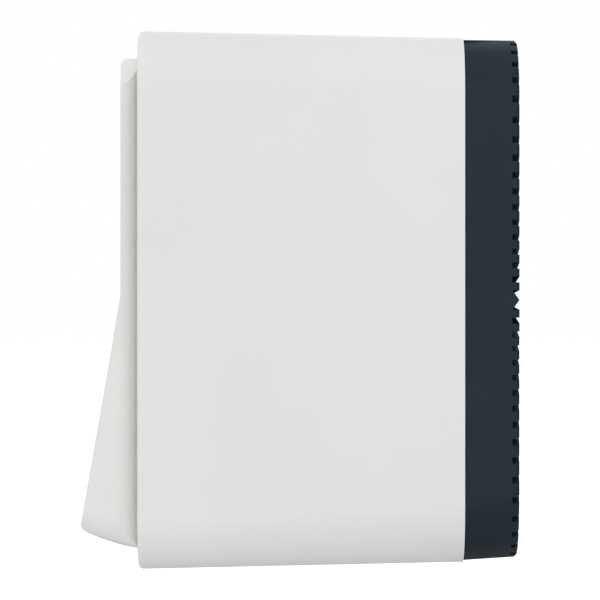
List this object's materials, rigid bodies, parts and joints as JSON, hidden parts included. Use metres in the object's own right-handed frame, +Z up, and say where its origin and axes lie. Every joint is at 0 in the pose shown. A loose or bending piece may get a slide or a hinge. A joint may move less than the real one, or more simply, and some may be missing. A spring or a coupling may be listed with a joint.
{
  "type": "video doorbell",
  "caption": "Deep square video doorbell with a radially ribbed front bezel, a bell button that travels and a wedge wall bracket that slides off.",
  "frame": {"origin": "middle of the overall box in X and Y, at the level of the housing's lowest edge", "axes": "+Z up, the face looks along -Y, +X is to the right of someone facing it"},
  "size_m": [0.09, 0.073, 0.09],
  "materials": {
    "shell_white": "fine moulded texture",
    "bracket_white": "fine moulded texture",
    "bezel_anthracite": "satin, fine moulded texture",
    "fascia_black": "polished",
    "trim_metal": "turned and anodised",
    "clear_glass": "polished",
    "coated_glass": "coated",
    "light_guide": "frosted",
    "button_grey": "satin",
    "mesh_fabric": "woven",
    "seal_rubber": "matt",
    "black_plastic": "moulded",
    "cone_paper": "pressed paper",
    "lamp_resin": "tinted resin",
    "sensor_glass": "polished",
    "flex_amber": "laminated film",
    "lead_red": "smooth sleeve",
    "capacitor_sleeve": "printed sleeve left plain",
    "connector_ivory": "moulded",
    "terminal_green": "moulded",
    "brass_foil": "plated",
    "board_green": "solder mask",
    "cell_sleeve": "plain sleeve",
    "steel_parts": "plated"
  },
  "bodies": {
    "body": {"housing": "shell_white", "front_bezel": "bezel_anthracite", "fascia": "fascia_black", "lens_ring": "trim_metal", "lens_cover": "clear_glass", "light_ring": "light_guide", "acoustic_mesh": "mesh_fabric", "face_seal": "seal_rubber", "button_carrier": "black_plastic", "button_spring": "steel_parts", "button_switch": "steel_parts", "front_board": "board_green", "front_board_screws": "steel_parts", "lens_barrel": "black_plastic", "lens_elements": "coated_glass", "lens_holder": "black_plastic", "image_sensor": "sensor_glass", "camera_board": "board_green", "camera_screws": "steel_parts", "camera_flex": "flex_amber", "ir_lamps": "lamp_resin", "light_sensor": "lamp_resin", "microphone": "brass_foil", "microphone_boot": "seal_rubber", "speaker_baffle": "black_plastic", "speaker_frame": "black_plastic", "speaker_cone": "cone_paper", "speaker_magnet": "steel_parts", "speaker_screws": "steel_parts", "speaker_leads": "lead_red", "main_board": "board_green", "main_board_screws": "steel_parts", "shield_can": "steel_parts", "antenna": "brass_foil", "capacitors": "capacitor_sleeve", "board_connectors": "connector_ivory", "battery_tray": "black_plastic", "cell_1": "cell_sleeve", "cell_2": "cell_sleeve", "cell_3": "cell_sleeve", "cell_4": "cell_sleeve", "contact_springs": "steel_parts", "contact_plates": "steel_parts", "battery_leads": "lead_red", "battery_door": "shell_white", "door_seal": "seal_rubber", "rear_board": "board_green", "rear_board_screws": "steel_parts", "terminal_block": "terminal_green", "terminal_screws": "steel_parts", "sync_spring": "steel_parts", "sync_switch": "steel_parts", "housing_screws": "steel_parts"},
    "bell_button": {"bell_button": "button_grey"},
    "sync_button": {"sync_button": "button_grey"},
    "bracket": {"wall_bracket": "bracket_white"}
  },
  "joints": [
    {"name": "bell_press", "type": "slide", "parent": "body", "child": "bell_button", "axis": [0, 1, 0], "range_m": [0, 0.0006], "stiffness_N_per_m": 1200, "springref_m": -0.0008, "deforming": ["button_spring"]},
    {"name": "sync_press", "type": "slide", "parent": "body", "child": "sync_button", "axis": [0, -1, 0], "range_m": [0, 0.0005], "stiffness_N_per_m": 1500, "springref_m": -0.0005, "deforming": ["sync_spring"]},
    {"name": "bracket_slide", "type": "slide", "parent": "body", "child": "bracket", "axis": [0, 0, -1], "range_m": [0, 0.006]}
  ]
}
